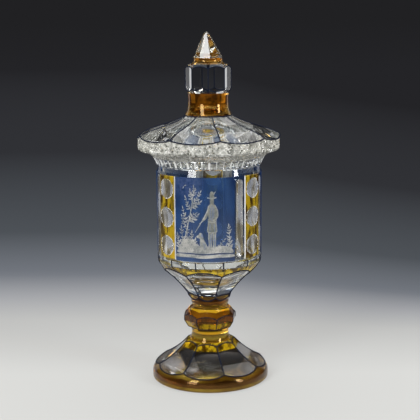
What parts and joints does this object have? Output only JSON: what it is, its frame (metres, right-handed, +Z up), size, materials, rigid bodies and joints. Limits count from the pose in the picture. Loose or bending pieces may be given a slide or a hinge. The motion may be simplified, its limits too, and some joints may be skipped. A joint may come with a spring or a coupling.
{
  "type": "covered goblet",
  "caption": "Covered cut-glass goblet on a spreading foot, stained amber with blue engraved panels; the domed cover with a pointed finial lifts off.",
  "frame": {"origin": "centre of the foot's underside, on the surface the goblet stands on", "axes": "+Z up along the goblet's axis, -Y towards the front blue panel"},
  "size_m": [0.1336, 0.1336, 0.33],
  "materials": {
    "foot_glass": "polished clear glass with an amber stain round the rim",
    "amber_glass": "polished amber-stained glass",
    "cut_glass": "polished cut clear glass with amber-stained columns",
    "blue_glass": "polished blue glass with frosted engraving",
    "spire_glass": "polished clear glass with a pale amber base"
  },
  "bodies": {
    "goblet": {"foot": "foot_glass", "lower_stem": "amber_glass", "stem_knop": "amber_glass", "upper_stem": "amber_glass", "bowl": "cut_glass", "blue_panel_front": "blue_glass", "blue_panel_right": "blue_glass", "blue_panel_left": "blue_glass"},
    "cover": {"cover_dome": "cut_glass", "cover_neck": "amber_glass", "cover_knop": "cut_glass", "cover_spire": "spire_glass"}
  },
  "joints": [
    {"name": "cover_lift", "type": "slide", "parent": "goblet", "child": "cover", "axis": [0, 0, 1], "range_m": [0, 0.12]}
  ]
}
